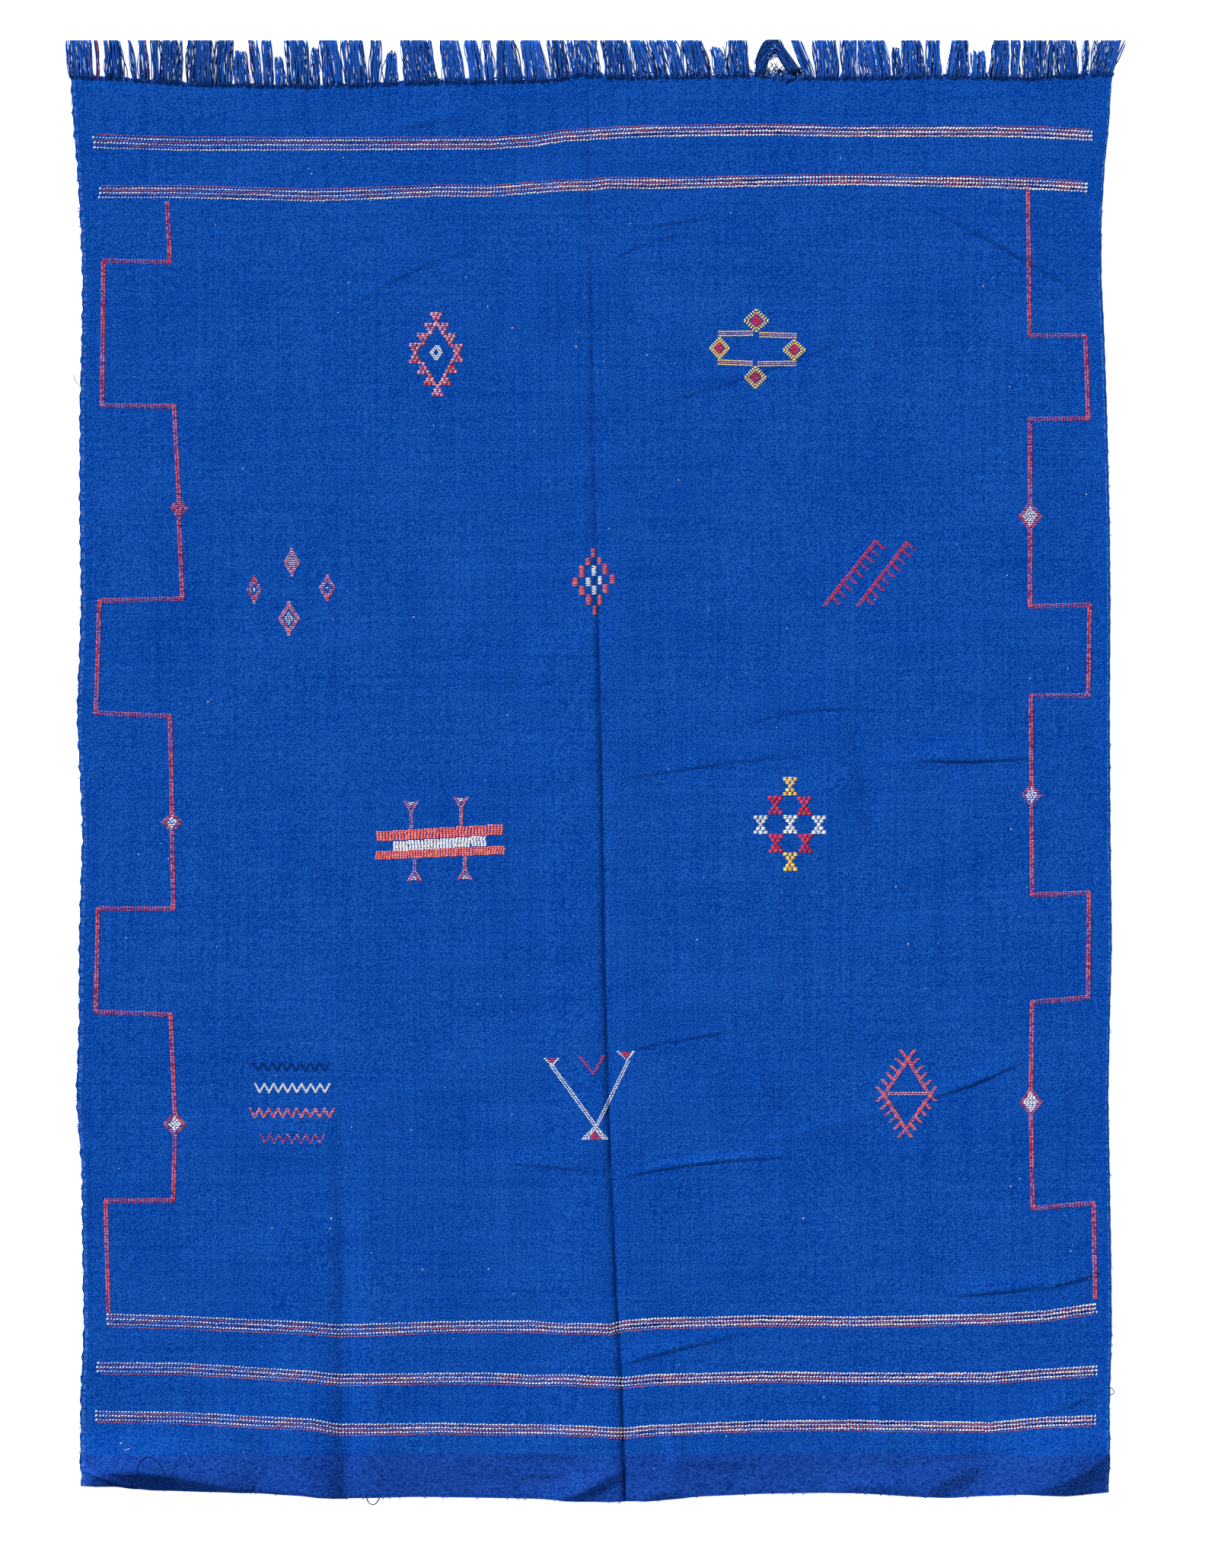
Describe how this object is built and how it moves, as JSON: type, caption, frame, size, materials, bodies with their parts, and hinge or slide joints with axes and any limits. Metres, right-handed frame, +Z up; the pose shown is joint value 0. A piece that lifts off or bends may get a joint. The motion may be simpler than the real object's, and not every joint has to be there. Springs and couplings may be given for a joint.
{
  "type": "flatweave rug",
  "caption": "Flatwoven cotton rug in royal blue with woven-in stripes, stepped side lines and small figures, a plain foot band and a loose fringe at the head.",
  "frame": {"origin": "on the floor under the middle of the rug's plan outline, fringe included", "axes": "+Y along the rug's length towards the fringed end, +X to the right seen from above, +Z up from the floor"},
  "size_m": [1.5264, 2.1113, 0.0186],
  "materials": {
    "cloth": "matt royal blue flatwoven cotton with white and red extra weft",
    "fringe": "matt royal blue cotton warp ends"
  },
  "bodies": {
    "root": {"cloth": "cloth", "fringe": "fringe"}
  },
  "joints": []
}
